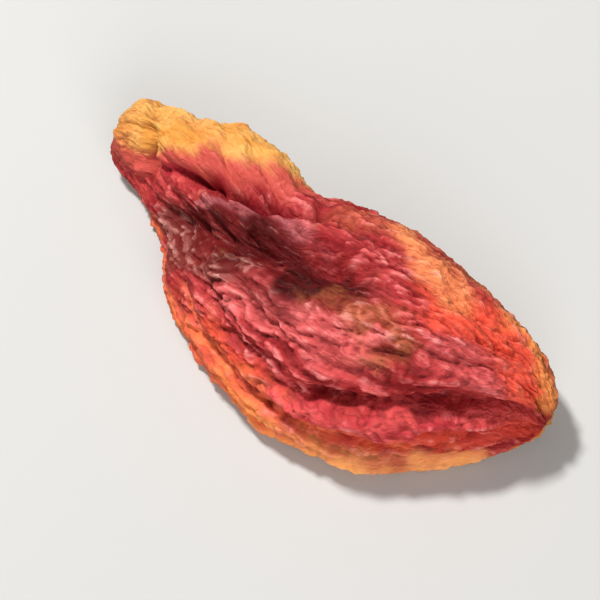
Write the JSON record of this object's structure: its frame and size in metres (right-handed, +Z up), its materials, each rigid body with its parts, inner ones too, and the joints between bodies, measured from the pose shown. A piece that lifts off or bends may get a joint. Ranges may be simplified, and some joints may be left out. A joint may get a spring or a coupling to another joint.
{
  "type": "dried apricot half",
  "caption": "Sun-dried apricot half lying skin side up: a blushed, wrinkled almond shape with a rolled flap and lips of flesh curled in round the stone's hollow.",
  "frame": {"origin": "under the middle of the piece, on the surface that it lies on", "axes": "+X from the nub to the pinched tip, +Y from the near rim to the far rim, +Z up from the surface"},
  "size_m": [0.043, 0.0196, 0.0123],
  "materials": {
    "dried_flesh": "wrinkled, leathery and matt, blushed crimson over orange, with orange rims and flesh"
  },
  "bodies": {
    "root": {"dried_apricot": "dried_flesh"}
  },
  "joints": []
}
